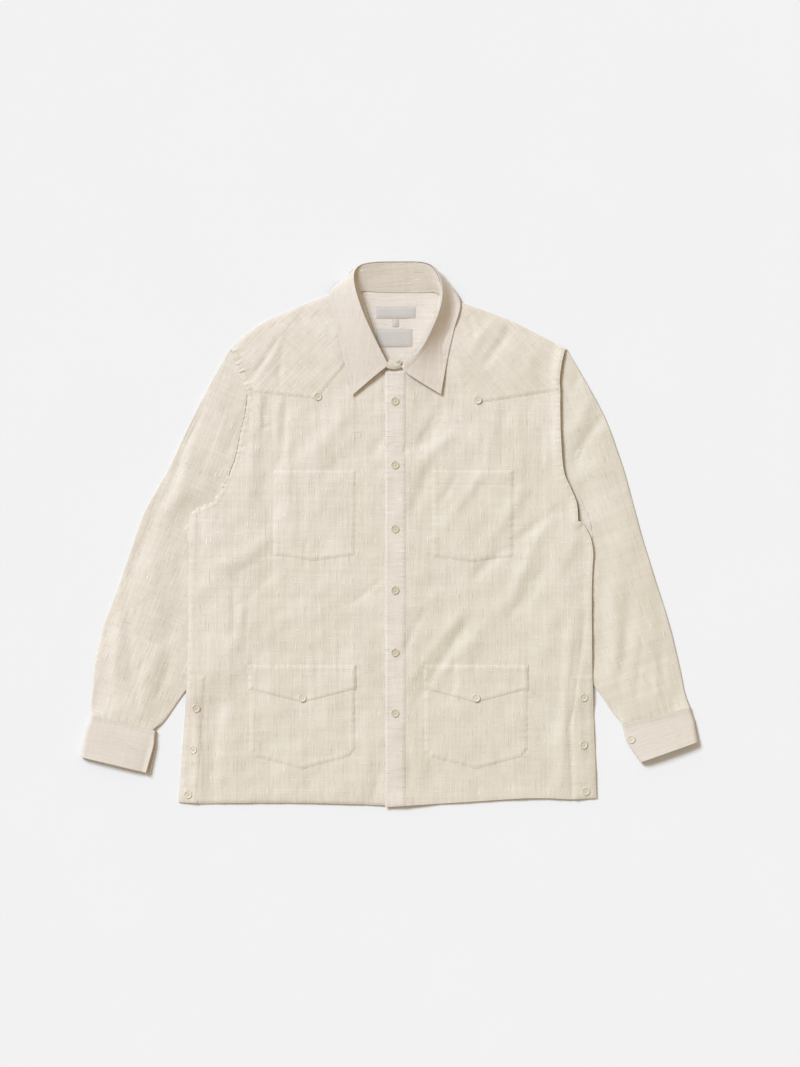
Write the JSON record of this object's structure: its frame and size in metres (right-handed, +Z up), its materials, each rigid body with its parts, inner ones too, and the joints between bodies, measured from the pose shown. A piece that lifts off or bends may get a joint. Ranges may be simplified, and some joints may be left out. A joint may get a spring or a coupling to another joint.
{
  "type": "camp shirt laid flat",
  "caption": "Long-sleeved camp shirt in slub cotton, laid flat on its back, with pointed front yokes, patch pockets and buttoned side vents.",
  "frame": {"origin": "on the surface that the shirt lies on, under the back panel, on the line of the front buttons and about midway between hem and collar", "axes": "+X across the shirt towards the wearer's left sleeve, +Y from the hem to the collar, +Z up from the surface"},
  "size_m": [0.895, 0.7908, 0.0279],
  "materials": {
    "cloth": "plain weave slub cotton, matt",
    "button": "cream, satin",
    "label": "smooth woven tape, bare"
  },
  "bodies": {
    "root": {"back": "cloth", "back_yoke": "cloth", "front_right": "cloth", "front_left": "cloth", "placket": "cloth", "yoke_right": "cloth", "yoke_left": "cloth", "collar_stand": "cloth", "collar_leaf": "cloth", "sleeve_right": "cloth", "sleeve_left": "cloth", "cuff_right": "cloth", "cuff_left": "cloth", "chest_pocket_right": "cloth", "chest_pocket_left": "cloth", "hip_pocket_right": "cloth", "hip_pocket_left": "cloth", "hip_flap_right": "cloth", "hip_flap_left": "cloth", "vent_band_right": "cloth", "vent_band_left": "cloth", "label_neck": "label", "label_size": "label", "label_fabric": "label", "button_front_1": "button", "button_front_2": "button", "button_front_3": "button", "button_front_4": "button", "button_front_5": "button", "button_front_6": "button", "button_yoke_right": "button", "button_yoke_left": "button", "button_flap_right": "button", "button_flap_left": "button", "button_vent_right_1": "button", "button_vent_right_2": "button", "button_vent_right_3": "button", "button_vent_left_1": "button", "button_vent_left_2": "button", "button_vent_left_3": "button", "button_cuff_left": "button"}
  },
  "joints": []
}
